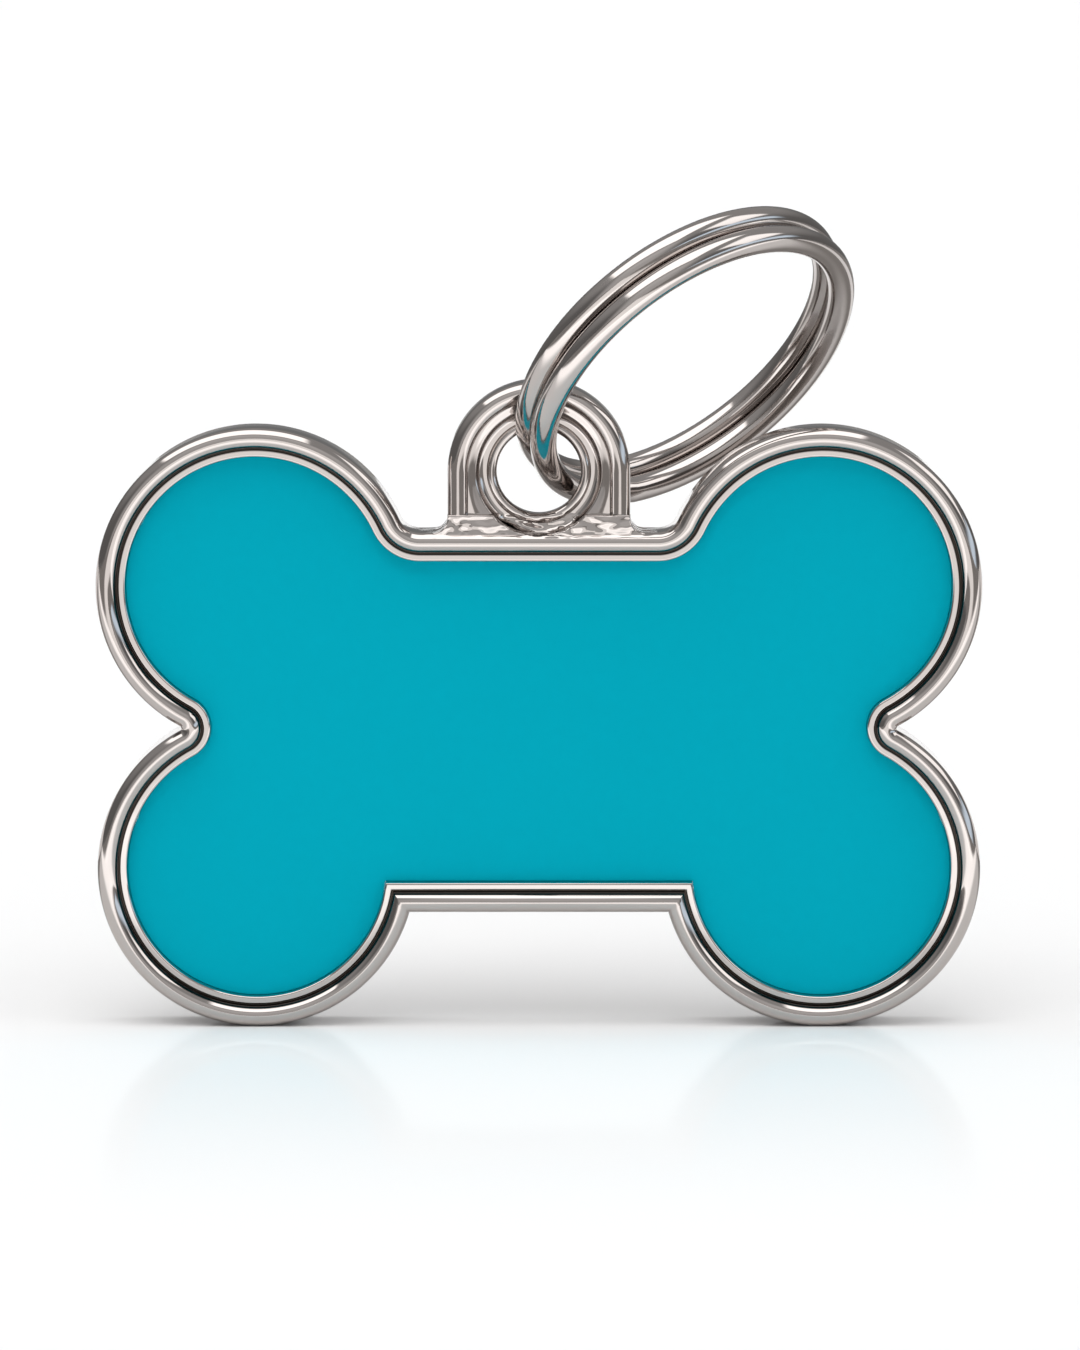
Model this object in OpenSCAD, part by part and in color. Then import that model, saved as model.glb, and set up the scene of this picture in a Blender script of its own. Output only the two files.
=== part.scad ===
// Bone shaped pet identity tag: a cast frame with a beaded rim and a bail,
// a coloured plate bonded into the frame's recess, and a two coil split ring
// that runs through the eye of the bail. All sizes are in millimetres.
//
// The tag is drawn flat, with its back on the plan's zero level and its front
// facing up, and is then stood on its lower ends: front towards -Y, +Z up.
// The origin is the middle of the flat back.

/* [Outline] */
// Overall width of the tag
tag_w = 40; // [37:0.5:44]
// Radius of the four rounded ends
lobe_r = 7.2; // [6.8:0.1:7.5]
// How far the upper and the lower end run into each other
lobe_overlap = 1.54; // [1.1:0.02:1.9]
// How far the neck's upper edge lies above the centres of the upper ends
neck_rise = 2.47; // [2.1:0.01:2.9]
// How far the neck's lower edge lies below the centres of the lower ends
neck_drop = 1.97; // [1.7:0.01:2.7]
// Radius of the fillets where the neck's upper edge meets the ends
neck_fillet = 1; // [0.4:0.1:1.6]
// Radius of the fillet in the notch between the ends, at each side
notch_fillet = 0.12; // [0.06:0.02:0.3]
// Overall thickness of the tag, from the flat back to the crest of the bead
tag_t = 3; // [2.7:0.1:3.6]

/* [Rim] */
// Width of the whole rim, bead and ledge together
rim_w = 1.33; // [1.15:0.01:1.6]
// Width of the half round bead along the outer edge
bead_w = 0.93; // [0.7:0.01:1.05]
// Radius along the inner edge of the ledge
ledge_round = 0.1; // [0.04:0.02:0.18]
// Radius along the back edge
back_round = 0.25; // [0.1:0.05:0.5]

/* [Recess and plate] */
// Thickness of the cast floor behind the plate
floor_t = 1.2; // [0.8:0.1:1.4]
// Thickness of the bonding film
film_t = 0.1; // [0.06:0.02:0.2]
// Thickness of the coloured plate
plate_t = 0.7; // [0.5:0.1:0.8]
// Gap between the plate's edge and the wall of the recess
plate_gap = 0.04; // [0.02:0.01:0.1]
// How far the bonding film stays back from the plate's edge
film_inset = 0.3; // [0.1:0.1:0.8]

/* [Bail] */
// Outer radius of the bail's arch
bail_r = 4.12; // [3.9:0.02:4.5]
// Height of the eye's centre above the neck's upper edge
eye_above = 2.7; // [2.6:0.05:3.1]
// Diameter of the eye
eye_d = 3.8; // [3.8:0.05:3.9]
// Thickness of the bail at the crest of its rib
bail_t = 2.5; // [2.2:0.1:2.6]
// Thickness of the web that carries the lip, at the foot of the dish
web_t = 0.5; // [0.4:0.05:0.6]
// Width of the dish between the lip and its rim
dish_w = 0.45; // [0.4:0.01:0.5]
// Width of the rolled lip round the eye
lip_w = 0.46; // [0.36:0.02:0.5]
// Thickness of the rolled lip
lip_t = 0.9; // [0.8:0.1:1]
// Height of the shoulder that carries the bail, above the neck's edge
shoulder_h = 0.8; // [0.7:0.02:0.9]
// Radius of the hollow fillets between the shoulder's sides and the neck
shoulder_fillet = 0.66; // [0.4:0.02:0.7]

/* [Split ring] */
// Outer diameter of the split ring
ring_od = 17; // [16:0.5:19]
// Diameter of its wire
wire_d = 1.2; // [1:0.05:1.25]
// Gap between the two coils
coil_gap = 0.05; // [0.03:0.01:0.12]
// Length of the step from one coil to the other, along the ring
step_len = 2.8; // [2.4:0.1:4]
// Gap between the step and each cut end of the wire
end_gap = 0.15; // [0.1:0.05:0.4]
// Where the step lies, as an angle round the ring from the eye
step_turn = 34; // [20:1:340]
// Angle of the ring's centre above the level of the eye
ring_rise = 37.5; // [34:0.5:41]
// Angle at which the ring is rolled about that direction
ring_roll = 35; // [30:1:38]
// Angle by which the ring's centre lies behind the tag's own plane
ring_lean = 2; // [0:1:6]
// How far the wire lies off the eye's centre, towards the ring's centre
wire_offset = 0.46; // [0.3:0.02:0.54]

/* [Hidden] */
$fn = 96;

metal_colour = "silver";
plate_colour = "darkturquoise";
film_colour = "whitesmoke";
steel_colour = "gainsboro";

// How far one solid runs into another, or a cut past a face
overrun = 0.2;

// Outline: centres of the ends, of the neck's fillets and of the notches
lobe_x = tag_w / 2 - lobe_r;
lobe_y = lobe_r - lobe_overlap / 2;
neck_top = lobe_y + neck_rise;
neck_bottom = lobe_y + neck_drop;
fillet_y = neck_top + neck_fillet;
fillet_x = lobe_x - sqrt((lobe_r + neck_fillet) ^ 2 - (fillet_y - lobe_y) ^ 2);
notch_x = lobe_x + sqrt((lobe_r + notch_fillet) ^ 2 - lobe_y ^ 2);
// Directions from an end's centre to the fillet and to the notch
fillet_dir = atan2(fillet_y - lobe_y, fillet_x - lobe_x);
notch_dir = atan2(-lobe_y, notch_x - lobe_x);

// Lower corners of the neck, outside the rim and inside it
function corner_x(inset) = lobe_x - sqrt((lobe_r - inset) ^ 2 - (neck_drop - inset) ^ 2);
corner_outer = [corner_x(0), -neck_bottom];
corner_inner = [corner_x(rim_w), rim_w - neck_bottom];
mitre_dir = (corner_inner - corner_outer) / norm(corner_inner - corner_outer);
corner_dir = atan2(-neck_drop, corner_x(0) - lobe_x);
// How far past the mitre the rim round the end is drawn before it is cut there
mitre_turn = 12;
// How far the two stretches run into each other at the mitre
mitre_lap = rim_w / 40;

bead_r = bead_w / 2;
ledge_z = tag_t - bead_r;
// The fillets' section is drawn in by this share of the rim's width, and they
// sink into the stretches next to them by this angle
fillet_step = rim_w / 100;
fillet_sink = 3;
// The floor runs under the rim by this share of the rim's width
floor_inset = rim_w * 2 / 3;

mid_z = tag_t / 2;
bail_back = mid_z - bail_t / 2;
eye_rise = neck_top + eye_above;
eye_r = eye_d / 2;
// Between the bead and the dish the bail has a flat band, a little below the
// level on which the bead's round starts
rib_t = bail_t - bead_w;
band_t = rib_t - 2 * ledge_round;
dish_r = eye_r + lip_w + dish_w;
dish_depth = (band_t - web_t) / 2;
dish_edge = dish_depth / 4;
dish_hollow = dish_depth - dish_edge;
shoulder_top = neck_top + shoulder_h;
shoulder_round = bead_r / 2;
shoulder_z = mid_z + bail_t / 2 + bead_r / 8;

// Ring: centre line radius, half the distance between the coils, and the turns
coil_r = (ring_od - wire_d) / 2;
coil_pitch = wire_d + coil_gap;
step_span = step_len / coil_r * 180 / PI;
end_span = end_gap / coil_r * 180 / PI;
wire_turn = 720 - step_span - 2 * end_span;
// Corners of the wire's section, stretches along it, and the share of a stretch
// over which the wire's direction is taken
wire_sides = 16;
wire_rings = 132;
along_share = 1 / 100;

// The tag's outline, drawn in from its true edge by inset. Every stretch
// stays tangent to the next: the ends lose what the fillets gain.
module outline(inset = 0) {
    corner = (corner_x(inset) + lobe_x) / 2;
    core_bottom = min(lobe_y, neck_bottom - inset);
    difference() {
        polygon([
            [notch_x, 0], [lobe_x, lobe_y], [fillet_x, fillet_y],
            [-fillet_x, fillet_y], [-lobe_x, lobe_y], [-notch_x, 0],
            [-lobe_x, -core_bottom], [lobe_x, -core_bottom]
        ]);
        for (side = [-1, 1]) {
            translate([side * notch_x, 0])
                circle(notch_fillet + inset);
            translate([side * fillet_x, fillet_y])
                circle(neck_fillet + inset);
        }
        translate([-fillet_x, neck_top - inset])
            square([2 * fillet_x, neck_fillet + inset + overrun]);
    }
    for (side = [-1, 1], end = [-1, 1])
        translate([side * lobe_x, end * lobe_y])
            circle(lobe_r - inset);
    translate([-corner, inset - neck_bottom])
        square([2 * corner, neck_bottom - inset]);
}

// Section through the rim: x runs inwards from the tag's edge, y is height.
// It can be drawn in all round by a small step.
module rim_section(step = 0) {
    crown = bead_r - step;
    difference() {
        translate([step, step])
            square([rim_w - 2 * step, ledge_z - 2 * step]);
        translate([step, step])
            difference() {
                square(back_round);
                translate([back_round, back_round])
                    circle(back_round);
            }
        translate([rim_w - ledge_round - step, ledge_z - ledge_round - step])
            difference() {
                square(ledge_round);
                circle(ledge_round);
            }
    }
    translate([bead_r, ledge_z - step])
        intersection() {
            circle(crown);
            translate([-crown, 0])
                square([2 * crown, crown]);
        }
}

// A stretch of rim round one end, whose centre lies inside the tag.
module rim_round_end(from, to) {
    rotate_extrude(angle = to - from, start = from)
        translate([lobe_r, 0])
            mirror([1, 0])
                rim_section();
}

// A stretch of rim round a fillet, whose centre lies outside the tag. It sinks
// a little way into the stretches on both sides of it.
module rim_round_fillet(radius, from, to) {
    rotate_extrude(angle = to - from + 2 * fillet_sink, start = from - fillet_sink)
        translate([radius, 0])
            rim_section(fillet_step);
}

// A straight stretch of rim along X, its outer edge on y = 0 and the tag below.
module rim_straight(length) {
    translate([-length / 2, 0])
        rotate([90, 0, 90])
            linear_extrude(length)
                mirror([1, 0])
                    rim_section();
}

// Everything beyond the mitre at the right lower corner, from a plane that
// lies past the mitre by shift.
module beyond_mitre(shift) {
    reach = 4 * lobe_r;
    across = [mitre_dir[1], -mitre_dir[0]];
    middle = corner_outer + across * shift;
    start = middle - mitre_dir * reach;
    finish = middle + mitre_dir * reach;
    translate([0, 0, -overrun])
        linear_extrude(tag_t + 2 * overrun)
            polygon([start, finish, finish + across * reach, start + across * reach]);
}

// The right half of the rim, apart from the straight stretches.
module rim_side() {
    translate([lobe_x, lobe_y])
        rim_round_end(notch_dir, fillet_dir);
    translate([fillet_x, fillet_y])
        rim_round_fillet(neck_fillet, -90, fillet_dir - 180);
    translate([notch_x, 0])
        rim_round_fillet(notch_fillet, 180 + notch_dir, 180 - notch_dir);
    intersection() {
        translate([lobe_x, -lobe_y])
            rim_round_end(corner_dir - mitre_turn, -notch_dir);
        beyond_mitre(-mitre_lap);
    }
}

module rim() {
    rim_side();
    mirror([1, 0, 0])
        rim_side();
    translate([0, neck_top])
        rim_straight(2 * fillet_x);
    difference() {
        translate([0, -neck_bottom])
            mirror([0, 1, 0])
                rim_straight(2 * corner_inner[0] + rim_w);
        beyond_mitre(mitre_lap);
        mirror([1, 0, 0])
            beyond_mitre(mitre_lap);
    }
}

// Section through the bail's rib, half round in front and behind: x runs inwards.
module rib_section() {
    translate([bead_r, mid_z]) {
        square([bead_w, rib_t], center = true);
        for (face = [-1, 1])
            translate([0, face * rib_t / 2])
                circle(bead_r);
    }
}

// Section of the cut that sinks the dish into one face of the band, from the
// eye's axis and the web upwards: hollow at its foot, chamfered at its rim.
module dish_section() {
    from = eye_r + lip_w / 2;
    difference() {
        polygon([
            [from, 0], [dish_r, 0], [dish_r, dish_hollow],
            [dish_r + dish_edge + overrun, dish_depth + overrun], [from, dish_depth + overrun]
        ]);
        translate([dish_r - dish_hollow, 0])
            difference() {
                square(dish_hollow);
                translate([0, dish_hollow])
                    circle(dish_hollow);
            }
    }
}

// Rolled lip round the eye, drawn from the eye's axis.
module lip_section() {
    straight = lip_t - lip_w;
    translate([eye_r + lip_w / 2, mid_z]) {
        square([lip_w, straight], center = true);
        for (face = [-1, 1])
            translate([0, face * straight / 2])
                circle(lip_w / 2);
    }
}

// Shoulder between the neck and the bail, with a hollow fillet at each side and
// the dish cut out of its middle.
module shoulder() {
    foot = neck_top - bead_r;
    half = bail_r + shoulder_fillet;
    depth = shoulder_z - bail_back;
    difference() {
        union() {
            translate([-half, foot, bail_back])
                cube([2 * half, neck_top + shoulder_fillet - foot, depth]);
            translate([-bail_r, foot, bail_back])
                cube([2 * bail_r, shoulder_top - shoulder_round - foot, depth]);
            translate([-bail_r, shoulder_top - shoulder_round, 0])
                rotate([90, 0, 90])
                    linear_extrude(2 * bail_r) {
                        translate([0, shoulder_z - shoulder_round])
                            circle(shoulder_round);
                        translate([-shoulder_round, bail_back])
                            square([2 * shoulder_round, depth - shoulder_round]);
                    }
        }
        for (side = [-1, 1])
            translate([side * half, neck_top + shoulder_fillet, bail_back - overrun])
                cylinder(r = shoulder_fillet, h = tag_t);
        translate([0, eye_rise, bail_back - overrun])
            cylinder(r = dish_r, h = tag_t);
        translate([0, eye_rise, shoulder_z - dish_edge])
            cylinder(r1 = dish_r, r2 = dish_r + dish_edge + overrun, h = dish_edge + overrun);
    }
}

// Flat band inside the rib, down to the neck, with the dish in both its faces.
module band() {
    half = bail_r - bead_r;
    leg = eye_above + bead_r;
    difference() {
        translate([0, 0, mid_z - band_t / 2])
            linear_extrude(band_t) {
                circle(half);
                translate([-half, -leg])
                    square([2 * half, leg]);
            }
        translate([0, 0, mid_z])
            for (face = [0, 1])
                mirror([0, 0, face])
                    translate([0, 0, web_t / 2])
                        rotate_extrude()
                            dish_section();
        translate([0, 0, bail_back])
            cylinder(r = eye_r + lip_w / 2, h = bail_t);
    }
}

module bail() {
    translate([0, eye_rise]) {
        rotate_extrude(angle = 180)
            translate([bail_r, 0])
                mirror([1, 0])
                    rib_section();
        for (side = [-1, 1])
            translate([side * bail_r, 0])
                rotate([90, 0, 0])
                    linear_extrude(eye_above + bead_r)
                        mirror([side > 0 ? 1 : 0, 0])
                            rib_section();
        band();
        rotate_extrude()
            lip_section();
    }
    shoulder();
}

module tag_frame() {
    color(metal_colour)
        rotate([90, 0, 0]) {
            rim();
            linear_extrude(floor_t)
                outline(floor_inset);
            bail();
        }
}

module front_plate() {
    color(plate_colour)
        rotate([90, 0, 0])
            translate([0, 0, floor_t + film_t])
                linear_extrude(plate_t)
                    outline(rim_w + plate_gap);
}

module plate_film() {
    color(film_colour)
        rotate([90, 0, 0])
            translate([0, 0, floor_t])
                linear_extrude(film_t)
                    outline(rim_w + plate_gap + film_inset);
}

// Height of the wire's centre line at a turn counted from its first cut end:
// flat on the lower coil, over the step in one smooth rise, flat on the upper.
function smooth(t) = t * t * (3 - 2 * t);
function coil_height(turn) =
    let (rise = (turn - (wire_turn - step_span) / 2) / step_span)
    coil_pitch * (smooth(min(1, max(0, rise))) - 1 / 2);
function coil_point(turn) = [coil_r * cos(turn), coil_r * sin(turn), coil_height(turn)];
function unit(v) = v / norm(v);

// One unbroken tube of wire, wound into two coils with a step between them.
module wound_wire() {
    turns = [for (i = [0 : wire_rings]) wire_turn * i / wire_rings];
    nudge = along_share * wire_turn / wire_rings;
    points = [
        for (turn = turns)
            let (centre = coil_point(turn),
                 along = unit(coil_point(turn + nudge) - coil_point(turn - nudge)),
                 out = unit(cross(along, cross([cos(turn), sin(turn), 0], along))),
                 up = cross(along, out))
            for (side = [0 : wire_sides - 1])
                let (a = 360 * side / wire_sides)
                centre + wire_d / 2 * (cos(a) * out + sin(a) * up)
    ];
    last = wire_rings * wire_sides;
    skin = [
        for (i = [0 : wire_rings - 1], side = [0 : wire_sides - 1])
            let (here = i * wire_sides, next = (side + 1) % wire_sides)
            each [
                [here + side, here + wire_sides + side, here + wire_sides + next],
                [here + side, here + wire_sides + next, here + next]
            ]
    ];
    ends = [
        for (side = [1 : wire_sides - 2])
            each [[0, side, side + 1], [last, last + side + 1, last + side]]
    ];
    polyhedron(points, concat(skin, ends));
    echo(least_gap_between_coils = coil_gap, wire_length = wire_turn * PI / 180 * coil_r);
}

module split_ring() {
    color(steel_colour)
        translate([0, -mid_z, eye_rise])
            rotate([-ring_roll, -ring_rise, ring_lean])
                translate([coil_r + wire_offset, 0, 0])
                    rotate([0, 0, 180 - step_turn - wire_turn / 2])
                        wound_wire();
}

tag_frame();
front_plate();
plate_film();
split_ring();
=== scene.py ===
import math

import bmesh
import bpy
from mathutils import Matrix, Vector


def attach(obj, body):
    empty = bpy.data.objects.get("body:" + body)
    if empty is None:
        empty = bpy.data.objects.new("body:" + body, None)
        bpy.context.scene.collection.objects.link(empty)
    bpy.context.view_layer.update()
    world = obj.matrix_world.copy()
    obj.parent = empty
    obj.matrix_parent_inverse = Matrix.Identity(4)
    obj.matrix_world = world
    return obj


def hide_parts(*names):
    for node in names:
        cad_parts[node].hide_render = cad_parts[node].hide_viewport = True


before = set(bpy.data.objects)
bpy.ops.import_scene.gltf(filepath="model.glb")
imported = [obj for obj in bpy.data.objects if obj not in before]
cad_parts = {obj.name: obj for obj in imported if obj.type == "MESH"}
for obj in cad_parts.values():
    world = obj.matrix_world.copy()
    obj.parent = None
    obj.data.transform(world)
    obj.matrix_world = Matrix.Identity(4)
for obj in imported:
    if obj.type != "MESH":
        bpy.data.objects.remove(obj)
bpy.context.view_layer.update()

# Sizes, in millimetres
MM = 0.001

TAG_W = 40.0
LOBE_R = 7.2
LOBE_OVERLAP = 1.54
NECK_RISE = 2.47
NECK_DROP = 1.97
NECK_FILLET = 1.0
NOTCH_FILLET = 0.12
TAG_T = 3.0

RIM_W = 1.33
BEAD_R = 0.465
LEDGE_ROUND = 0.1
BACK_ROUND = 0.25
CREASE_W = 0.06
CREASE_DEPTH = 0.1
BAND_CROWN = 0.08
# Flat faces keep flat beside their rounded borders by an extra edge this far in
EDGE_HOLD = 0.02
BACK_HOLD = 0.1
PLATE_HOLD = 0.05
# The back's face and the plate's faces are filled inside a loop this far in
BACK_LOOP = 1.6
PLATE_LOOP = 1.0

FLOOR_T = 1.2
FILM_T = 0.1
PLATE_T = 0.7
PLATE_GAP = 0.01
PLATE_ROUND = 0.02

BAIL_R = 4.12
EYE_ABOVE = 2.7
EYE_R = 1.9
BAIL_T = 2.5
LIP_W = 0.46
LIP_T = 0.9
WEB_T = 0.5
DISH_W = 0.45
SHOULDER_H = 0.8
SHOULDER_FILLET = 0.66
SHOULDER_ROUND = 0.2

RING_OD = 17.0
WIRE_D = 1.2
COIL_GAP = 0.05
STEP_LEN = 2.8
END_GAP = 0.15
# How the ring hangs, in degrees, and how far its wire lies off the eye's middle
STEP_TURN = 34.0
RING_RISE = 37.5
RING_ROLL = 35.0
RING_LEAN = 2.0
WIRE_OFFSET = 0.46
WIRE_END_ROUND = 0.12

# Places that follow from the sizes
LOBE_X = TAG_W / 2 - LOBE_R
LOBE_Y = LOBE_R - LOBE_OVERLAP / 2
NECK_TOP = LOBE_Y + NECK_RISE
FILLET_Y = NECK_TOP + NECK_FILLET
FILLET_X = LOBE_X - math.sqrt((LOBE_R + NECK_FILLET) ** 2 - (FILLET_Y - LOBE_Y) ** 2)
NOTCH_X = LOBE_X + math.sqrt((LOBE_R + NOTCH_FILLET) ** 2 - LOBE_Y ** 2)
FILLET_DIR = math.atan2(FILLET_Y - LOBE_Y, FILLET_X - LOBE_X)
NOTCH_DIR = math.atan2(-LOBE_Y, NOTCH_X - LOBE_X)
FAN_START = math.radians(-150)
LEDGE_Z = TAG_T - BEAD_R
MID_Z = TAG_T / 2
EYE_RISE = NECK_TOP + EYE_ABOVE
RIB_HALF = BAIL_T / 2 - BEAD_R
BAND_HALF = RIB_HALF - LEDGE_ROUND
DISH_R = EYE_R + LIP_W + DISH_W
DISH_DEPTH = BAND_HALF - WEB_T / 2
DISH_ROUND = DISH_DEPTH / 4
SHOULDER_Z = MID_Z + BAIL_T / 2 + BEAD_R / 8
GROUND_Z = -(LOBE_Y + LOBE_R)

# Steps of the round stretches
FILLET_STEPS = 20
LOBE_STEPS = 110
NOTCH_STEPS = 24
LOWER_STEPS = 108
MITRE_STEPS = 10
ARCH_STEPS = 72
BAND_STEPS = 90
CROWN_STEPS = 8
WIRE_SIDES = 32
WIRE_STEPS = 280

# Points closer than MERGE are one point, and edges closer than TOUCH to a plane lie in it
MERGE = 0.0005
TOUCH = 0.01

# The crease beside the bead gets a dark line of painted shade
PAINTED_SHADE = "painted_shade"
PAINTED_SHADE_FROM, PAINTED_SHADE_TO = 0.8, 1.0

# Ripples cover the shoulder, where the bail was joined to the neck
RIPPLE_DROP = 0.1
RIPPLE_HALF = 5.2
RIPPLE_SOFT = 0.15
RIPPLE_SIDE_SOFT = 0.3

# Colours
PLATING = (0.48, 0.44, 0.42)
WIRE_PLATING = (0.5, 0.46, 0.44)
# Painted shade for the crease beside the bead
PAINTED_SHADE_COLOUR = (0.03, 0.024, 0.02)
COAT_DEEP, COAT_BRIGHT = (0.0, 0.402, 0.526), (0.0, 0.423, 0.551)
FILM_COLOUR = (0.8, 0.8, 0.78)
WHITE = (0.9, 0.9, 0.9)
# Painted shade for the far floor, as the metal mirrors it
DIM_FLOOR = (0.3, 0.29, 0.28)
WINDOW_BLUE = (0.66, 0.83, 1.0)

# The stage: places are forwards (negative) or backwards of the tag
STAGE_HALF = 8000.0
BOARD_HALF = 500.0
BOARD_H = 23.0
BOARD_Y = 50.0
BOARD_GLOW = 1.09
SKY_STRENGTH = 0.35
# The floor mirrors the tag faintly, less and less towards the camera
IMAGE_END, IMAGE_FULL, IMAGE_BACK = -50.0, -8.0, 8.0
IMAGE_SHARE = 0.13
# The floor as the metal mirrors it, with painted light and shade: white near the tag and dim beyond, a
# glowing strip, and a glowing lane in front
WHITE_FROM, WHITE_TO, WHITE_SOFT = -75.0, 12.0, 12.0
STRIP_FROM, STRIP_TO = -62.0, -30.0
LANE_FROM, LANE_HALF, LANE_SIDE_SOFT = -60.0, 60.0, 15.0
LANE_GLOW = 1.1
FLOOR_SOFT = 8.0

STAND = Matrix.Scale(MM, 4) @ Matrix.Rotation(math.radians(90), 4, "X")


# Mesh helpers
def verts_of(geom):
    return [g for g in geom if isinstance(g, bmesh.types.BMVert)]


def edges_of(geom):
    return [g for g in geom if isinstance(g, bmesh.types.BMEdge)]


class Pen:
    """Draws a profile as a chain of edges. Across and up are the profile's own axes."""

    def __init__(self, bm, place, across, up):
        self.bm = bm
        self.place = place
        self.first = self.tip = bm.verts.new(place(across, up))
        self.geom = [self.first]

    def line(self, across, up):
        new = self.bm.verts.new(self.place(across, up))
        self.geom += [new, self.bm.edges.new((self.tip, new))]
        self.tip = new

    def arc(self, across, up, radius, start, finish, steps):
        """An arc about (across, up), from one direction in degrees to another."""
        for step in range(1, steps + 1):
            a = math.radians(start + (finish - start) * step / steps)
            self.line(across + radius * math.cos(a), up + radius * math.sin(a))

    def close(self):
        self.geom.append(self.bm.edges.new((self.tip, self.first)))


def spin(bm, geom, centre, angle, steps):
    made = bmesh.ops.spin(bm, geom=geom, cent=centre, axis=(0, 0, 1), angle=angle, steps=steps)
    return made["geom_last"]


def next_ring(bm, geom):
    """Extrudes a ring of edges and gives the new ring, still in the old place."""
    made = bmesh.ops.extrude_edge_only(bm, edges=edges_of(geom))["geom"]
    verts = set(verts_of(made))
    edges = [e for e in edges_of(made) if all(v in verts for v in e.verts)]
    return list(verts) + edges


def move(bm, geom, offset):
    bmesh.ops.translate(bm, verts=verts_of(geom), vec=offset)


def fill_openings(bm):
    bmesh.ops.edgeloop_fill(bm, edges=[e for e in bm.edges if e.is_boundary])


def make_piece(bm, name, body, material, node, sharp=35):
    """Turns a finished drawing into a piece that rides on a body and replaces a CAD node.
    Edges that turn more than the sharp angle, in degrees, are shaded sharp."""
    bmesh.ops.recalc_face_normals(bm, faces=bm.faces)
    for face in bm.faces:
        face.smooth = True
    mesh = bpy.data.meshes.new(name)
    bm.to_mesh(mesh)
    bm.free()
    mesh.set_sharp_from_angle(angle=math.radians(sharp))
    mesh.materials.append(material)
    piece = bpy.data.objects.new(name, mesh)
    bpy.context.scene.collection.objects.link(piece)
    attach(piece, body)
    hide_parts(node)


# The tag's outline
def corner_direction(radius):
    """Direction, from a lower end's centre, of the mitred corner at that radius."""
    inset = LOBE_R - radius
    rise = inset - NECK_DROP
    return -math.pi - math.asin(rise / radius)


def sweep_outline(bm, profile):
    """Carries a profile, drawn at the middle of the neck's upper edge, round the
    tag's right half, and mirrors it to the left. The last stretch of the lower end fans
    out so that each point of the profile stops on the mitre, and runs on straight."""
    ring = next_ring(bm, profile)
    move(bm, ring, (FILLET_X, 0, 0))
    ring = spin(bm, ring, (FILLET_X, FILLET_Y, 0), FILLET_DIR - math.radians(90), FILLET_STEPS)
    ring = spin(bm, ring, (LOBE_X, LOBE_Y, 0), NOTCH_DIR - FILLET_DIR, LOBE_STEPS)
    ring = spin(bm, ring, (NOTCH_X, 0, 0), -2 * NOTCH_DIR, NOTCH_STEPS)
    ring = spin(bm, ring, (LOBE_X, -LOBE_Y, 0), FAN_START + NOTCH_DIR, LOWER_STEPS)
    for step in range(1, MITRE_STEPS + 1):
        ring = next_ring(bm, ring)
        for vert in verts_of(ring):
            arm = Vector((vert.co.x - LOBE_X, vert.co.y + LOBE_Y))
            turn = corner_direction(arm.length) - FAN_START
            a = FAN_START + turn * step / MITRE_STEPS
            vert.co.x = LOBE_X + arm.length * math.cos(a)
            vert.co.y = -LOBE_Y + arm.length * math.sin(a)
    ring = next_ring(bm, ring)
    for vert in verts_of(ring):
        vert.co.x = 0
    bmesh.ops.mirror(bm, geom=bm.verts[:] + bm.edges[:] + bm.faces[:], axis="X", merge_dist=MERGE)
    bmesh.ops.remove_doubles(bm, verts=bm.verts, dist=MERGE)
    fill_openings(bm)


def at_neck(inset, up):
    return (0, NECK_TOP - inset, up)


# Materials
def new_material(name, colour, metallic, roughness):
    material = bpy.data.materials.new(name)
    material.use_nodes = True
    shader = material.node_tree.nodes["Principled BSDF"]
    shader.inputs["Base Color"].default_value = (*colour, 1)
    shader.inputs["Metallic"].default_value = metallic
    shader.inputs["Roughness"].default_value = roughness
    return material, material.node_tree.nodes, material.node_tree.links, shader


def noise(nodes, links, scale, detail, stretch=(1, 1, 1)):
    """Noise on Object coordinates. The scale is in grains per metre."""
    where = nodes.new("ShaderNodeTexCoord")
    mapping = nodes.new("ShaderNodeMapping")
    mapping.inputs["Scale"].default_value = stretch
    grain = nodes.new("ShaderNodeTexNoise")
    grain.inputs["Scale"].default_value = scale
    grain.inputs["Detail"].default_value = detail
    links.new(where.outputs["Object"], mapping.inputs["Vector"])
    links.new(mapping.outputs["Vector"], grain.inputs["Vector"])
    return grain


def spread(nodes, links, source, low, high):
    """Maps a 0 to 1 signal to the range from low to high."""
    ramp = nodes.new("ShaderNodeMapRange")
    ramp.inputs["To Min"].default_value = low
    ramp.inputs["To Max"].default_value = high
    links.new(source, ramp.inputs["Value"])
    return ramp.outputs["Result"]


def bump(nodes, links, shader, source, height, strength):
    """Bumps the shader's surface by a 0 to 1 signal. The height is in metres."""
    node = nodes.new("ShaderNodeBump")
    node.inputs["Distance"].default_value = height
    node.inputs["Strength"].default_value = strength
    links.new(source, node.inputs["Height"])
    links.new(node.outputs["Normal"], shader.inputs["Normal"])
    return node


def mixed_colour(nodes, links, factor, first, second):
    mix = nodes.new("ShaderNodeMix")
    mix.data_type = "RGBA"
    mix.inputs["A"].default_value = (*first, 1)
    mix.inputs["B"].default_value = (*second, 1)
    links.new(factor, mix.inputs["Factor"])
    return mix.outputs["Result"]


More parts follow.
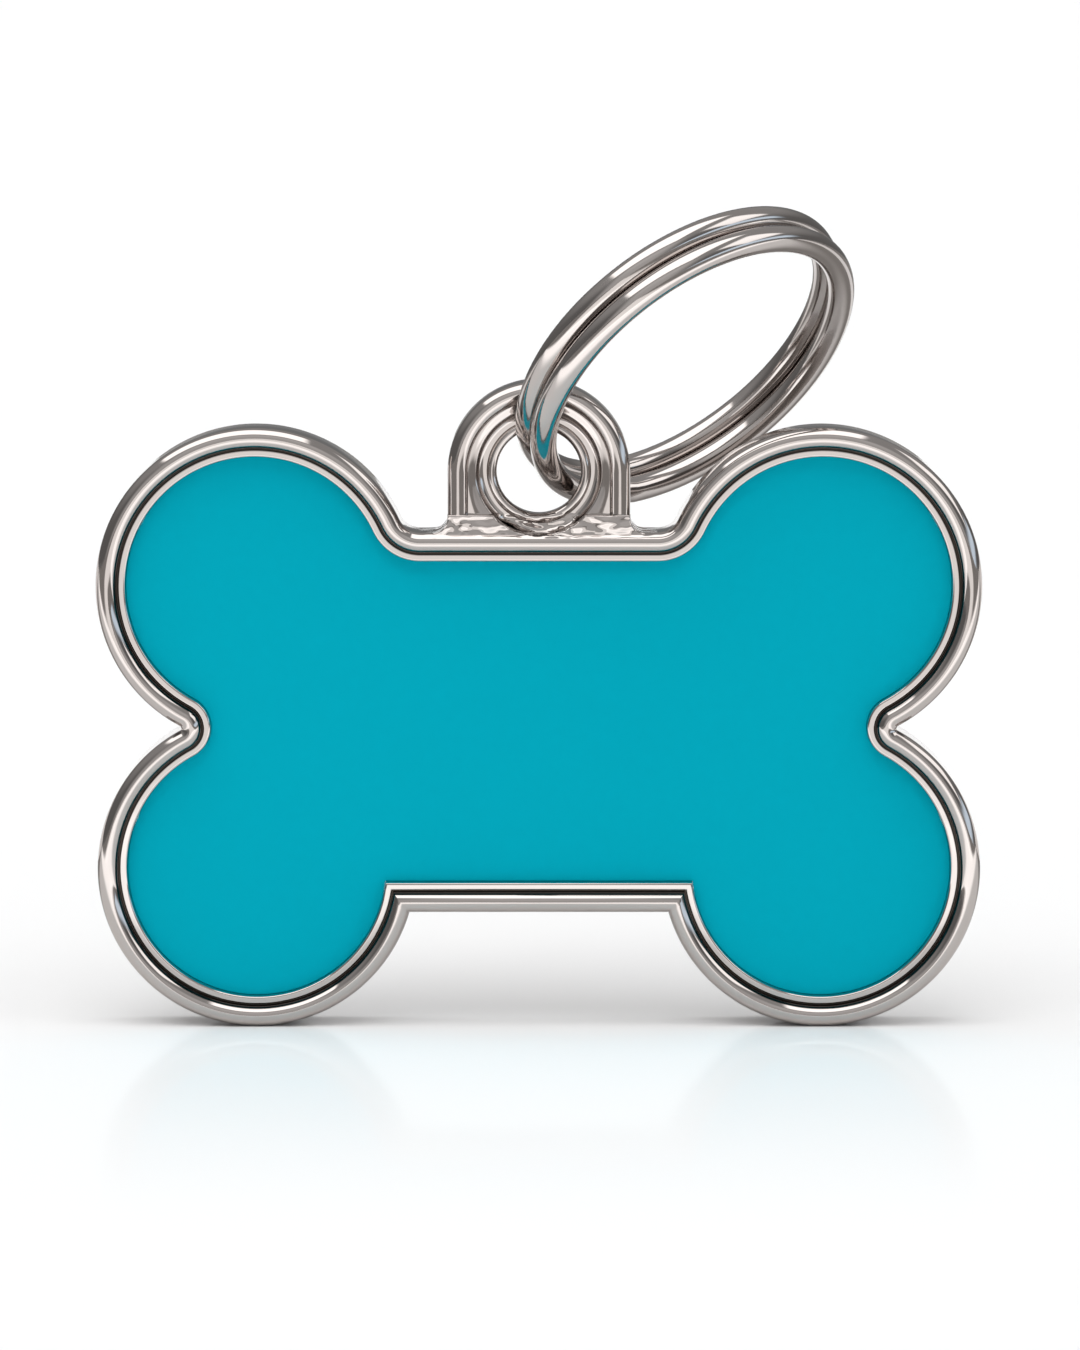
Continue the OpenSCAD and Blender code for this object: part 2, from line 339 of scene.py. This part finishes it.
def between(nodes, links, source, low, high, soft):
    """1 where the signal lies between low and high, 0 outside, with soft edges."""
    away = nodes.new("ShaderNodeMath")
    away.operation = "SUBTRACT"
    away.inputs[1].default_value = (low + high) / 2
    links.new(source, away.inputs[0])
    size = nodes.new("ShaderNodeMath")
    size.operation = "ABSOLUTE"
    links.new(away.outputs["Value"], size.inputs[0])
    edge = nodes.new("ShaderNodeMapRange")
    edge.interpolation_type = "SMOOTHSTEP"
    edge.inputs["From Min"].default_value = (high - low) / 2 - soft
    edge.inputs["From Max"].default_value = (high - low) / 2 + soft
    edge.inputs["To Min"].default_value = 1
    edge.inputs["To Max"].default_value = 0
    links.new(size.outputs["Value"], edge.inputs["Value"])
    return edge.outputs["Result"]


def multiply(nodes, links, first, second):
    node = nodes.new("ShaderNodeMath")
    node.operation = "MULTIPLY"
    links.new(first, node.inputs[0])
    links.new(second, node.inputs[1])
    return node.outputs["Value"]


def plated_metal(name, colour, roughness, waviness, ripples=0):
    """Bright plating: a slight haze that varies, the soft waviness of a polished casting,
    painted shade in the crease where a piece marks it, and ripples where the bail was joined to the
    neck."""
    material, nodes, links, shader = new_material(name, colour, metallic=1, roughness=roughness)
    # Painted shade: the plating's colour turns dark where the layer marks the crease
    painted_shade = nodes.new("ShaderNodeAttribute")
    painted_shade.attribute_name = PAINTED_SHADE
    links.new(mixed_colour(nodes, links, painted_shade.outputs["Fac"], colour, PAINTED_SHADE_COLOUR),
              shader.inputs["Base Color"])
    haze = noise(nodes, links, scale=900, detail=3)
    links.new(spread(nodes, links, haze.outputs["Fac"], low=roughness * 0.6, high=roughness * 1.5),
              shader.inputs["Roughness"])
    waves = noise(nodes, links, scale=420, detail=2)
    soft_waves = bump(nodes, links, shader, waves.outputs["Fac"], height=waviness, strength=0.6)
    if ripples:
        where = nodes.new("ShaderNodeTexCoord")
        split = nodes.new("ShaderNodeSeparateXYZ")
        links.new(where.outputs["Object"], split.inputs["Vector"])
        low = NECK_TOP - RIPPLE_DROP
        joint = multiply(nodes, links,
                         between(nodes, links, split.outputs["Z"], low=low * MM,
                                 high=(low + SHOULDER_H) * MM, soft=RIPPLE_SOFT * MM),
                         between(nodes, links, split.outputs["X"], low=-RIPPLE_HALF * MM,
                                 high=RIPPLE_HALF * MM, soft=RIPPLE_SIDE_SOFT * MM))
        grain = noise(nodes, links, scale=1300, detail=1, stretch=(0.7, 1, 1.2))
        swell = spread(nodes, links, grain.outputs["Fac"], low=-0.5, high=0.5)
        second = bump(nodes, links, shader, multiply(nodes, links, swell, joint),
                      height=ripples, strength=1)
        links.new(soft_waves.outputs["Normal"], second.inputs["Normal"])
    return material


def coated_plate(name):
    """Satin turquoise coating with a very fine grain."""
    material, nodes, links, shader = new_material(name, COAT_DEEP, metallic=0, roughness=0.5)
    shader.inputs["Specular IOR Level"].default_value = 0.02
    grain = noise(nodes, links, scale=2600, detail=4)
    links.new(mixed_colour(nodes, links, grain.outputs["Fac"], COAT_DEEP, COAT_BRIGHT),
              shader.inputs["Base Color"])
    peel = noise(nodes, links, scale=5200, detail=3)
    bump(nodes, links, shader, peel.outputs["Fac"], height=0.00001, strength=0.25)
    return material


def bonding_film(name):
    """Dull white film, slightly cloudy."""
    material, nodes, links, shader = new_material(name, FILM_COLOUR, metallic=0, roughness=0.6)
    cloudy = noise(nodes, links, scale=1500, detail=2)
    links.new(spread(nodes, links, cloudy.outputs["Fac"], low=0.5, high=0.7),
              shader.inputs["Roughness"])
    return material


casting_metal = plated_metal("plated_casting", PLATING, roughness=0.06, waviness=0.00002,
                             ripples=0.00035)
wire_metal = plated_metal("plated_wire", WIRE_PLATING, roughness=0.09, waviness=0.000005)
plate_coat = coated_plate("turquoise_coat")
film_white = bonding_film("bonding_film")


# The frame
def draw_rim(bm):
    """The rim from the back's face round the bead to the recess's floor. The layer for
    the painted shade in the crease is made first, because a new layer unsettles the points already
    drawn."""
    painted_shade = bm.verts.layers.float.new(PAINTED_SHADE)
    pen = Pen(bm, at_neck, BACK_LOOP, 0)
    pen.line(BACK_ROUND + BACK_HOLD, 0)
    pen.line(BACK_ROUND, 0)
    pen.arc(BACK_ROUND, BACK_ROUND, BACK_ROUND, -90, -180, steps=6)
    pen.line(0, LEDGE_Z - BACK_HOLD)
    pen.line(0, LEDGE_Z)
    pen.arc(BEAD_R, LEDGE_Z, BEAD_R, 180, 0, steps=28)
    bead_w = 2 * BEAD_R
    pen.line(bead_w, LEDGE_Z - CREASE_DEPTH)
    pen.line(bead_w + CREASE_W, LEDGE_Z - CREASE_DEPTH)
    pen.arc(bead_w + 2 * CREASE_W, LEDGE_Z - CREASE_W, CREASE_W, 180, 90, steps=4)
    pen.line(bead_w + 2 * CREASE_W + EDGE_HOLD, LEDGE_Z)
    pen.line(RIM_W - LEDGE_ROUND - EDGE_HOLD, LEDGE_Z)
    pen.line(RIM_W - LEDGE_ROUND, LEDGE_Z)
    pen.arc(RIM_W - LEDGE_ROUND, LEDGE_Z - LEDGE_ROUND, LEDGE_ROUND, 90, 0, steps=6)
    pen.line(RIM_W, FLOOR_T)
    # Marks the crease beside the bead for painted shade
    for vert in bm.verts:
        inset = NECK_TOP - vert.co.y
        if PAINTED_SHADE_FROM < inset < PAINTED_SHADE_TO and vert.co.z > LEDGE_Z - RIM_W / 4:
            vert[painted_shade] = 1
    sweep_outline(bm, pen.geom)


def draw_bail_rib(bm):
    """The rib round the arch and down the legs, half round in front and behind."""
    foot = NECK_TOP - BEAD_R

    def at_leg(inset, up):
        return (BAIL_R - inset, foot, MID_Z + up)

    pen = Pen(bm, at_leg, 0, 0)
    pen.line(0, RIB_HALF)
    pen.arc(BEAD_R, RIB_HALF, BEAD_R, 180, 0, steps=24)
    pen.line(2 * BEAD_R, BAND_HALF - CREASE_DEPTH)
    pen.line(2 * BEAD_R, CREASE_DEPTH - BAND_HALF)
    pen.line(2 * BEAD_R, -RIB_HALF)
    pen.arc(BEAD_R, -RIB_HALF, BEAD_R, 0, -180, steps=24)
    pen.close()
    ring = next_ring(bm, pen.geom)
    move(bm, ring, (0, EYE_RISE - foot, 0))
    ring = spin(bm, ring, (0, EYE_RISE, 0), math.pi, ARCH_STEPS)
    ring = next_ring(bm, ring)
    move(bm, ring, (0, foot - EYE_RISE, 0))
    fill_openings(bm)


def draw_band(bm):
    """The flat band inside the rib, with the dish and the rolled lip round the eye.
    The dish is spun about the eye; below it the band's outer edge runs on to the neck."""
    outer = BAIL_R - BEAD_R
    foot = NECK_TOP - BEAD_R
    half_lip = LIP_W / 2
    straight = LIP_T / 2 - half_lip
    hollow = DISH_DEPTH - DISH_ROUND

    def at_eye(radius, up):
        return (radius, EYE_RISE, MID_Z + up)

    brim = DISH_R + DISH_ROUND
    outward = bm.verts.layers.float.new("outward")
    pen = Pen(bm, at_eye, outer, 0)
    for step in range(CROWN_STEPS + 1):
        share = step / CROWN_STEPS
        pen.line(outer + (brim - outer) * share, BAND_HALF + BAND_CROWN * math.sin(math.pi * share))
    pen.arc(brim, BAND_HALF - DISH_ROUND, DISH_ROUND, 90, 180, steps=6)
    pen.arc(DISH_R - hollow, WEB_T / 2 + hollow, hollow, 0, -90, steps=10)
    pen.line(EYE_R + LIP_W, WEB_T / 2)
    pen.arc(EYE_R + half_lip, straight, half_lip, 0, 180, steps=14)
    pen.line(EYE_R, 0)
    for vert in bm.verts:
        vert[outward] = max(0, (vert.co.x - brim) / (outer - brim))
    ring = spin(bm, pen.geom, (0, EYE_RISE, 0), math.pi, BAND_STEPS)
    least_share = 0.001
    for step in range(1, BAND_STEPS + 1):
        ring = spin(bm, ring, (0, EYE_RISE, 0), math.pi / BAND_STEPS, 1)
        down = -math.sin(math.pi * step / BAND_STEPS)
        side = math.cos(math.pi + math.pi * step / BAND_STEPS)
        reach = min(outer / max(abs(side), least_share), (EYE_RISE - foot) / max(-down, least_share))
        for vert in verts_of(ring):
            if vert[outward] > 0:
                radius = brim + vert[outward] * (reach - brim)
                vert.co.x = radius * side
                vert.co.y = EYE_RISE + radius * down
    bmesh.ops.mirror(bm, geom=bm.verts[:] + bm.edges[:] + bm.faces[:], axis="Z",
                     matrix=Matrix.Translation((0, 0, -MID_Z)), merge_dist=MERGE)
    bmesh.ops.remove_doubles(bm, verts=bm.verts, dist=MERGE)
    bm.verts.layers.float.remove(outward)


def draw_shoulder(bm):
    """The block between the neck and the bail: a hollow fillet at each side, and the
    dish cut out of its middle."""
    foot = NECK_TOP - BEAD_R
    top = NECK_TOP + SHOULDER_H
    half = BAIL_R + SHOULDER_FILLET
    back = MID_Z - BAIL_T / 2
    dish_dir = math.degrees(math.asin((top - EYE_RISE) / DISH_R))

    def at_back(across, up):
        return (across, up, back)

    pen = Pen(bm, at_back, -half, foot)
    pen.line(-half, NECK_TOP)
    pen.arc(-half, NECK_TOP + SHOULDER_FILLET, SHOULDER_FILLET, -90, 0, steps=12)
    pen.line(-BAIL_R, top)
    pen.line(-DISH_R * math.cos(math.radians(dish_dir)), top)
    pen.arc(0, EYE_RISE, DISH_R, -180 - dish_dir, dish_dir, steps=40)
    pen.line(BAIL_R, top)
    pen.line(BAIL_R, NECK_TOP + SHOULDER_FILLET)
    pen.arc(half, NECK_TOP + SHOULDER_FILLET, SHOULDER_FILLET, 180, 270, steps=12)
    pen.line(half, foot)
    pen.close()
    face = bmesh.ops.contextual_create(bm, geom=edges_of(pen.geom))["faces"]
    made = bmesh.ops.extrude_face_region(bm, geom=face)["geom"]
    bmesh.ops.translate(bm, verts=verts_of(made), vec=(0, 0, SHOULDER_Z - back))
    bmesh.ops.recalc_face_normals(bm, faces=bm.faces)
    front_edges = [e for e in bm.edges if all(v.co.z > back + TOUCH for v in e.verts)
                   and max(v.co.y for v in e.verts) > foot + TOUCH]
    bmesh.ops.bevel(bm, geom=front_edges, offset=SHOULDER_ROUND, offset_type="OFFSET", segments=6,
                    profile=0.5, affect="EDGES", clamp_overlap=True, material=-1)


def make_frame():
    """One casting, drawn in four parts that run into each other."""
    whole = bmesh.new()
    for draw in (draw_rim, draw_bail_rib, draw_band, draw_shoulder):
        part = bmesh.new()
        draw(part)
        bmesh.ops.recalc_face_normals(part, faces=part.faces)
        mesh = bpy.data.meshes.new("part")
        part.to_mesh(mesh)
        part.free()
        whole.from_mesh(mesh)
        bpy.data.meshes.remove(mesh)
    bmesh.ops.transform(whole, matrix=STAND, verts=whole.verts)
    make_piece(whole, "frame_casting", "tag", casting_metal, "tag_frame")


# The coloured plate
def make_plate():
    """The plate fills the recess but for the gap round its edge."""
    bm = bmesh.new()
    bottom = FLOOR_T + FILM_T
    top = bottom + PLATE_T
    edge = RIM_W + PLATE_GAP
    pen = Pen(bm, at_neck, edge + PLATE_LOOP, bottom)
    pen.line(edge, bottom)
    pen.line(edge, top - PLATE_ROUND)
    pen.arc(edge + PLATE_ROUND, top - PLATE_ROUND, PLATE_ROUND, 180, 90, steps=6)
    pen.line(edge + PLATE_ROUND + PLATE_HOLD, top)
    pen.line(edge + PLATE_LOOP, top)
    sweep_outline(bm, pen.geom)
    bmesh.ops.transform(bm, matrix=STAND, verts=bm.verts)
    make_piece(bm, "colour_plate", "tag", plate_coat, "front_plate")


# The split ring
COIL_R = (RING_OD - WIRE_D) / 2
COIL_PITCH = WIRE_D + COIL_GAP
STEP_SPAN = STEP_LEN / COIL_R
WIRE_TURN = 4 * math.pi - STEP_SPAN - 2 * END_GAP / COIL_R


def coil_rise(turn):
    """Share of the climb from the lower coil to the upper, and its slope."""
    t = min(1, max(0, (turn - (WIRE_TURN - STEP_SPAN) / 2) / STEP_SPAN))
    return t * t * (3 - 2 * t), 6 * t * (1 - t) / STEP_SPAN


def wire_station(turn):
    """The wire's place and heading at an angle round the coils."""
    share, slope = coil_rise(turn)
    climb = math.atan(COIL_PITCH * slope / COIL_R)
    return (Matrix.Rotation(turn, 4, "Z")
            @ Matrix.Translation((COIL_R, 0, COIL_PITCH * (share - 0.5)))
            @ Matrix.Rotation(climb, 4, "X"))


def make_ring():
    """One wire, carried station by station along two coils and the step between them."""
    bm = bmesh.new()
    bmesh.ops.create_circle(bm, segments=WIRE_SIDES, radius=WIRE_D / 2)
    bmesh.ops.rotate(bm, verts=bm.verts, matrix=Matrix.Rotation(math.radians(90), 3, "X"))
    ring = bm.verts[:] + bm.edges[:]
    place = Matrix.Identity(4)
    for step in range(WIRE_STEPS + 1):
        if step > 0:
            ring = next_ring(bm, ring)
        station = wire_station(WIRE_TURN * step / WIRE_STEPS)
        bmesh.ops.transform(bm, matrix=station @ place.inverted(), verts=verts_of(ring))
        place = station
    fill_openings(bm)
    ends = [e for f in bm.faces if len(f.verts) > 4 for e in f.edges]
    bmesh.ops.bevel(bm, geom=ends, offset=WIRE_END_ROUND, offset_type="OFFSET", segments=4,
                    profile=0.5, affect="EDGES", clamp_overlap=True, material=-1)
    radians = math.radians
    lay = (Matrix.Translation((0, -MID_Z, EYE_RISE))
           @ Matrix.Rotation(radians(RING_LEAN), 4, "Z")
           @ Matrix.Rotation(radians(-RING_RISE), 4, "Y")
           @ Matrix.Rotation(radians(-RING_ROLL), 4, "X")
           @ Matrix.Translation((COIL_R + WIRE_OFFSET, 0, 0))
           @ Matrix.Rotation(math.pi - radians(STEP_TURN) - WIRE_TURN / 2, 4, "Z"))
    bmesh.ops.transform(bm, matrix=Matrix.Scale(MM, 4) @ lay, verts=bm.verts)
    make_piece(bm, "wound_ring", "ring", wire_metal, "split_ring", sharp=60)


make_frame()
make_plate()
make_ring()
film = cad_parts["plate_film"]
film.data.materials.clear()
film.data.materials.append(film_white)


# Stage, light and camera
def make_floor():
    """A white floor with the tag's faint mirror image, which fades towards the camera.
    The metal mirrors this floor with painted light and shade, brighter and darker than the camera sees
    it."""
    bm = bmesh.new()
    bmesh.ops.create_grid(bm, x_segments=1, y_segments=1, size=STAGE_HALF * MM)
    bmesh.ops.translate(bm, verts=bm.verts, vec=(0, 0, GROUND_Z * MM))
    mesh = bpy.data.meshes.new("floor")
    bm.to_mesh(mesh)
    bm.free()
    floor = bpy.data.objects.new("floor", mesh)
    bpy.context.scene.collection.objects.link(floor)
    material, nodes, links, shader = new_material("white_floor", WHITE, metallic=0, roughness=0.9)
    shader.inputs["Specular IOR Level"].default_value = 0
    gloss = nodes.new("ShaderNodeBsdfGlossy")
    gloss.inputs["Color"].default_value = (*WHITE, 1)
    gloss.inputs["Roughness"].default_value = 0.08
    mirrored = nodes.new("ShaderNodeBsdfDiffuse")
    glow = nodes.new("ShaderNodeEmission")
    where = nodes.new("ShaderNodeTexCoord")
    split = nodes.new("ShaderNodeSeparateXYZ")
    links.new(where.outputs["Object"], split.inputs["Vector"])
    forwards = split.outputs["Y"]
    fade = nodes.new("ShaderNodeMapRange")
    fade.interpolation_type = "SMOOTHSTEP"
    fade.inputs["From Min"].default_value = IMAGE_END * MM
    fade.inputs["From Max"].default_value = IMAGE_FULL * MM
    fade.inputs["To Min"].default_value = 0
    fade.inputs["To Max"].default_value = IMAGE_SHARE
    links.new(forwards, fade.inputs["Value"])
    in_front = between(nodes, links, forwards, low=-STAGE_HALF * MM, high=IMAGE_BACK * MM,
                       soft=FLOOR_SOFT * MM)
    mix = nodes.new("ShaderNodeMixShader")
    links.new(multiply(nodes, links, fade.outputs["Result"], in_front), mix.inputs["Fac"])
    links.new(shader.outputs["BSDF"], mix.inputs[1])
    links.new(gloss.outputs["BSDF"], mix.inputs[2])

    # The metal's mirror image of the floor, with painted light and shade: dim far off, and a strip and
    # a lane that glow
    rays = nodes.new("ShaderNodeLightPath")
    near = between(nodes, links, forwards, low=WHITE_FROM * MM, high=WHITE_TO * MM,
                   soft=WHITE_SOFT * MM)
    links.new(mixed_colour(nodes, links, near, DIM_FLOOR, WHITE), mirrored.inputs["Color"])
    strip = between(nodes, links, forwards, low=STRIP_FROM * MM, high=STRIP_TO * MM,
                    soft=FLOOR_SOFT * MM)
    lane = multiply(nodes, links,
                    between(nodes, links, forwards, low=-STAGE_HALF * MM, high=LANE_FROM * MM,
                            soft=FLOOR_SOFT * MM),
                    between(nodes, links, split.outputs["X"], low=-LANE_HALF * MM,
                            high=LANE_HALF * MM, soft=LANE_SIDE_SOFT * MM))
    # Painted light: the strip and the lane glow for glossy rays only
    painted_glow = nodes.new("ShaderNodeMath")
    painted_glow.operation = "MULTIPLY_ADD"
    painted_glow.inputs[1].default_value = LANE_GLOW
    links.new(lane, painted_glow.inputs[0])
    links.new(strip, painted_glow.inputs[2])
    links.new(multiply(nodes, links, painted_glow.outputs["Value"], rays.outputs["Is Glossy Ray"]),
              glow.inputs["Strength"])
    seen = nodes.new("ShaderNodeMixShader")
    links.new(rays.outputs["Is Glossy Ray"], seen.inputs["Fac"])
    links.new(mix.outputs["Shader"], seen.inputs[1])
    links.new(mirrored.outputs["BSDF"], seen.inputs[2])
    both = nodes.new("ShaderNodeAddShader")
    links.new(seen.outputs["Shader"], both.inputs[0])
    links.new(glow.outputs["Emission"], both.inputs[1])
    links.new(both.outputs["Shader"], nodes["Material Output"].inputs["Surface"])
    mesh.materials.append(material)


def make_reflector():
    """A low white board behind the tag that only mirrors see: the floor's image of it is
    white, while the room above it stays grey for the tag's metal."""
    bm = bmesh.new()
    bmesh.ops.create_grid(bm, x_segments=1, y_segments=1, size=BOARD_HALF * MM)
    bmesh.ops.scale(bm, verts=bm.verts, vec=(1, BOARD_H / (2 * BOARD_HALF), 1))
    bmesh.ops.rotate(bm, verts=bm.verts, matrix=Matrix.Rotation(math.radians(90), 3, "X"))
    bmesh.ops.translate(bm, verts=bm.verts, vec=(0, BOARD_Y * MM, (GROUND_Z + BOARD_H / 2) * MM))
    mesh = bpy.data.meshes.new("low_reflector")
    bm.to_mesh(mesh)
    bm.free()
    board = bpy.data.objects.new("low_reflector", mesh)
    bpy.context.scene.collection.objects.link(board)
    material, nodes, links, shader = new_material("reflector_white", (0, 0, 0), metallic=0, roughness=1)
    shader.inputs["Emission Color"].default_value = (1, 1, 1, 1)
    shader.inputs["Emission Strength"].default_value = BOARD_GLOW
    mesh.materials.append(material)
    board.visible_camera = board.visible_diffuse = board.visible_shadow = False


def heading(azimuth, elevation):
    """A direction by its angles to the right of the camera's side and above the floor."""
    a, e = math.radians(azimuth), math.radians(elevation)
    return Vector((math.cos(e) * math.sin(a), -math.cos(e) * math.cos(a), math.sin(e)))


class Room:
    """The studio room that lights the tag and is mirrored in its metal: a grey shell
    with soft glowing panels on it, all far away."""

    def __init__(self, nodes, links):
        self.nodes = nodes
        self.links = links
        self.where = nodes.new("ShaderNodeTexCoord").outputs["Generated"]
        self.shader = None

    def along(self, axis):
        """How far a direction in the room points along an axis, from -1 to 1."""
        dot = self.nodes.new("ShaderNodeVectorMath")
        dot.operation = "DOT_PRODUCT"
        dot.inputs[1].default_value = axis
        self.links.new(self.where, dot.inputs[0])
        return dot.outputs["Value"]

    def combine(self, operation, first, second):
        node = self.nodes.new("ShaderNodeMath")
        node.operation = operation
        for socket, value in zip(node.inputs, (first, second)):
            if isinstance(value, (int, float)):
                socket.default_value = value
            else:
                self.links.new(value, socket)
        return node.outputs["Value"]

    def within(self, value, middle, half, soft):
        return between(self.nodes, self.links, value, middle - half, middle + half, soft)

    def glow(self, colour, strength):
        """Adds light to the room. Colour and strength are values or sockets."""
        light = self.nodes.new("ShaderNodeBackground")
        if isinstance(colour, tuple):
            light.inputs["Color"].default_value = (*colour, 1)
        else:
            self.links.new(colour, light.inputs["Color"])
        if isinstance(strength, (int, float)):
            light.inputs["Strength"].default_value = strength
        else:
            self.links.new(strength, light.inputs["Strength"])
        if self.shader is None:
            self.shader = light.outputs["Background"]
            return
        both = self.nodes.new("ShaderNodeAddShader")
        self.links.new(self.shader, both.inputs[0])
        self.links.new(light.outputs["Background"], both.inputs[1])
        self.shader = both.outputs["Shader"]

    def panel(self, facing, across, middle, half, soft, strength, colour=(1, 1, 1)):
        """A panel square to a direction. Its middle, half size and softness are in tangents."""
        facing = Vector(facing).normalized()
        across = (Vector(across) - facing * facing.dot(across)).normalized()
        depth = self.along(facing)
        sideways = self.combine("DIVIDE", self.along(across), depth)
        upright = self.combine("DIVIDE", self.along(facing.cross(across)), depth)
        mask = self.combine("MULTIPLY", self.within(sideways, middle[0], half[0], soft[0]),
                            self.within(upright, middle[1], half[1], soft[1]))
        least_depth = 0.02
        ahead = self.combine("GREATER_THAN", depth, least_depth)
        mask = self.combine("MULTIPLY", mask, ahead)
        self.glow(colour, self.combine("MULTIPLY", mask, strength))


def make_world():
    """The camera sees a white backdrop; everything else sees the room."""
    world = bpy.data.worlds.new("studio")
    bpy.context.scene.world = world
    world.use_nodes = True
    nodes, links = world.node_tree.nodes, world.node_tree.links
    nodes.clear()
    room = Room(nodes, links)

    height = nodes.new("ShaderNodeMapRange")
    height.inputs["From Min"].default_value = -1
    ramp = nodes.new("ShaderNodeValToRGB")
    links.new(room.along((0, 0, 1)), height.inputs["Value"])
    links.new(height.outputs["Result"], ramp.inputs["Fac"])
    # The shell's greys, from straight down (0) past the horizon (0.5) to straight up (1)
    shell = [(0.0, 0.4), (0.48, 0.4), (0.52, 0.17), (0.65, 0.19), (0.8, 0.4), (1.0, 0.43)]
    bar = ramp.color_ramp
    while len(bar.elements) < len(shell):
        bar.elements.new(0.5)
    for element, (place, grey) in zip(bar.elements, shell):
        element.position = place
        element.color = (grey, grey, grey, 1)
    room.glow(ramp.outputs["Color"], 1)

    right, up, camera_side = (1, 0, 0), (0, 0, 1), (0, -1, 0)
    # A softbox overhead and to the left, and a smaller one high at the right
    room.panel(up, right, middle=(-0.27, -0.35), half=(0.62, 0.6), soft=(0.04, 0.06), strength=1.95)
    room.panel(heading(72, 36), heading(95, 0), middle=(0, 0), half=(0.25, 0.34),
               soft=(0.05, 0.05), strength=1.6)
    # Light that comes back from the camera's side
    room.panel(camera_side, right, middle=(0, 0.3), half=(0.55, 0.5), soft=(0.3, 0.3), strength=0.45)
    # A cool window at the right, which slopes up to the back
    room.panel(heading(66, 8), heading(95, 16) - heading(32, -2), middle=(0, 0), half=(0.62, 0.1),
               soft=(0.15, 0.06), strength=1.3, colour=WINDOW_BLUE)

    seen = nodes.new("ShaderNodeBackground")
    backdrop = 0.982
    seen.inputs["Color"].default_value = (backdrop, backdrop, backdrop, 1)
    rays = nodes.new("ShaderNodeLightPath")
    mix = nodes.new("ShaderNodeMixShader")
    out = nodes.new("ShaderNodeOutputWorld")
    links.new(rays.outputs["Is Camera Ray"], mix.inputs["Fac"])
    links.new(room.shader, mix.inputs[1])
    links.new(seen.outputs["Background"], mix.inputs[2])
    links.new(mix.outputs["Shader"], out.inputs["Surface"])


def make_sky(strength):
    """A broad, even light from above."""
    lamp = bpy.data.lights.new("sky", "SUN")
    lamp.energy = strength
    lamp.angle = math.radians(120)
    light = bpy.data.objects.new("sky", lamp)
    light.visible_glossy = False
    bpy.context.scene.collection.objects.link(light)


def make_camera():
    """A camera a little above the tag. Its lens is set by the photograph's height and by
    how many of its pixels a millimetre of the tag takes up."""
    distance = 307.0
    elevation = math.radians(7)
    sensor = 36
    pixels_per_mm, photo_height = 22.06, 1350
    aim = Vector((0.05, -1.5, 2.3))
    back = Vector((0, -math.cos(elevation), math.sin(elevation)))
    lens = bpy.data.cameras.new("camera")
    lens.sensor_fit = "AUTO"
    lens.sensor_width = sensor
    lens.lens = pixels_per_mm * distance / photo_height * sensor
    lens.clip_start, lens.clip_end = 0.01, 20
    camera = bpy.data.objects.new("camera", lens)
    camera.location = (aim + back * distance) * MM
    camera.rotation_mode = "QUATERNION"
    camera.rotation_quaternion = (-back).to_track_quat("-Z", "Y")
    bpy.context.scene.collection.objects.link(camera)
    bpy.context.scene.camera = camera


make_floor()
make_world()
make_reflector()
make_sky(SKY_STRENGTH)
make_camera()
bpy.context.scene.view_settings.view_transform = "Standard"
